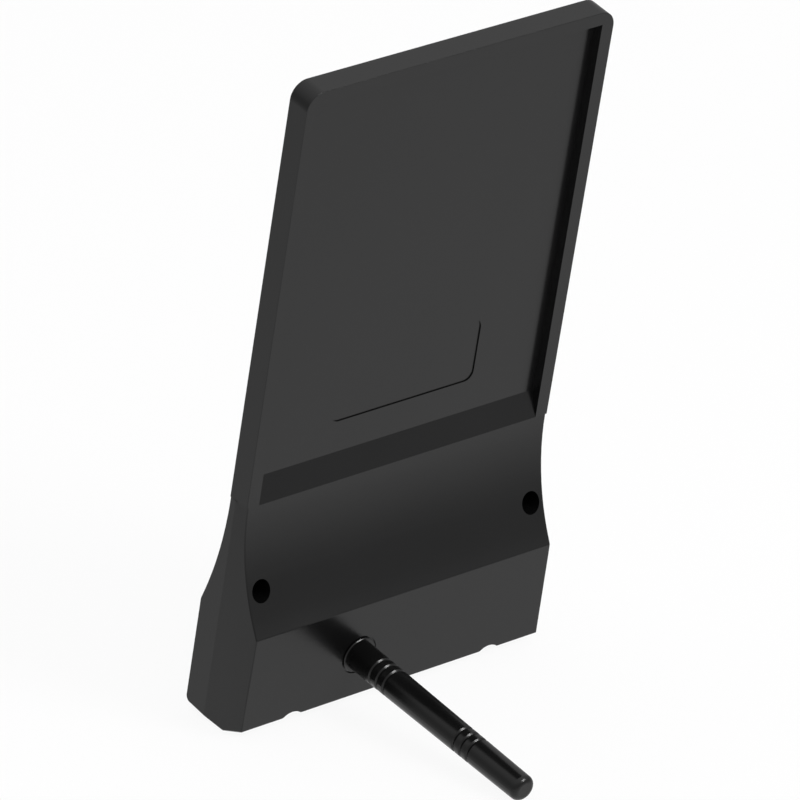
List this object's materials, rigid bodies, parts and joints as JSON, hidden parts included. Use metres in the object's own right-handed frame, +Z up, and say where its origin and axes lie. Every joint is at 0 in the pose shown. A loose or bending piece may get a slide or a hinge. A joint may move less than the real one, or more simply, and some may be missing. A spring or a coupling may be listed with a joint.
{
  "type": "indoor tv antenna",
  "caption": "Flat panel indoor antenna in a black moulded case with a recessed back, a flared base and a ringed screw-in prop leg that it leans back on.",
  "frame": {"origin": "centre of the object's footprint, on the table that it stands on", "axes": "+Z up, -Y the way the plain front face looks, +Y the way the prop leg points, +X to the left as seen from behind"},
  "size_m": [0.11, 0.1, 0.2033],
  "materials": {
    "case_plastic": "black moulded plastic with a satin surface",
    "leg_plastic": "black turned plastic with a soft gloss",
    "black_screw": "blackened steel",
    "stud_steel": "zinc plated",
    "insert_brass": "machined",
    "board_laminate": "circuit board laminate",
    "aerial_foil": "bare foil",
    "ferrite": "fired ferrite",
    "copper_wire": "enamelled copper wire"
  },
  "bodies": {
    "root": {"front_cover": "case_plastic", "rear_cover": "case_plastic", "housing_screws": "black_screw", "leg_rod": "leg_plastic", "leg_stud": "stud_steel", "leg_insert": "insert_brass", "antenna_board": "board_laminate", "radiator_left": "aerial_foil", "radiator_right": "aerial_foil", "matching_board": "board_laminate", "matching_board_screws": "stud_steel", "balun_core": "ferrite", "balun_winding_aerial": "copper_wire", "balun_winding_lead": "copper_wire", "feed_wire_left": "copper_wire", "feed_wire_right": "copper_wire"}
  },
  "joints": []
}
